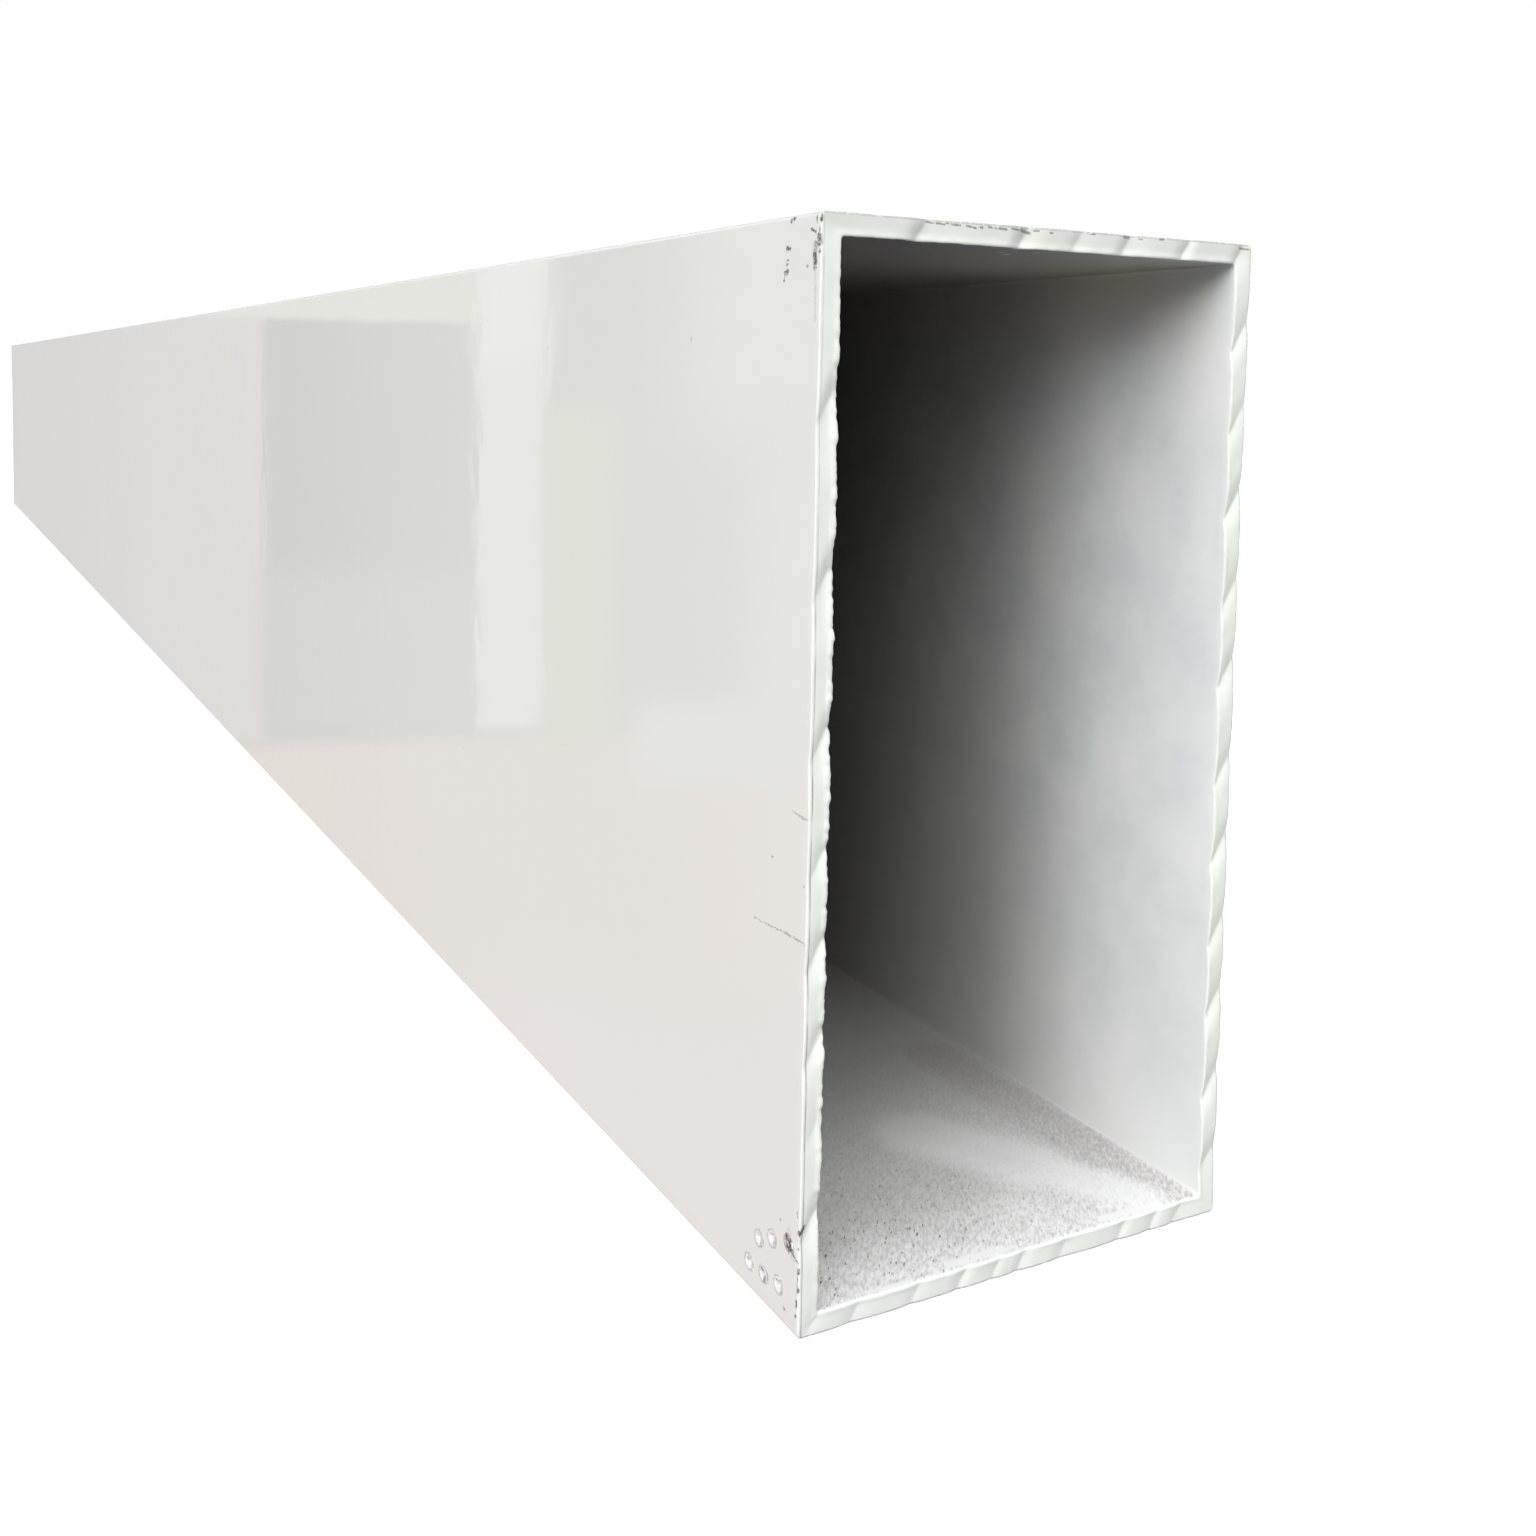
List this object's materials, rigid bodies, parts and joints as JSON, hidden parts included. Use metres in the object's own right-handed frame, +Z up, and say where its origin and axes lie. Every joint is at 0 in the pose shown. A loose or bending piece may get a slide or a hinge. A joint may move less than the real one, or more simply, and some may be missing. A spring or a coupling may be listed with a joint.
{
  "type": "rectangular aluminium tube",
  "caption": "Straight rectangular aluminium tube with a white gloss powder coat, near-sharp corners and rough-sawn open ends; framing stock.",
  "frame": {"origin": "middle of the underside, on the surface that the tube stands on", "axes": "+Y along the tube, away from the end that the picture shows; +X across the section; +Z up, with the tube on its narrow side"},
  "size_m": [0.05, 1, 0.1],
  "materials": {
    "white_powder_coat": "gloss"
  },
  "bodies": {
    "root": {"tube": "white_powder_coat"}
  },
  "joints": []
}
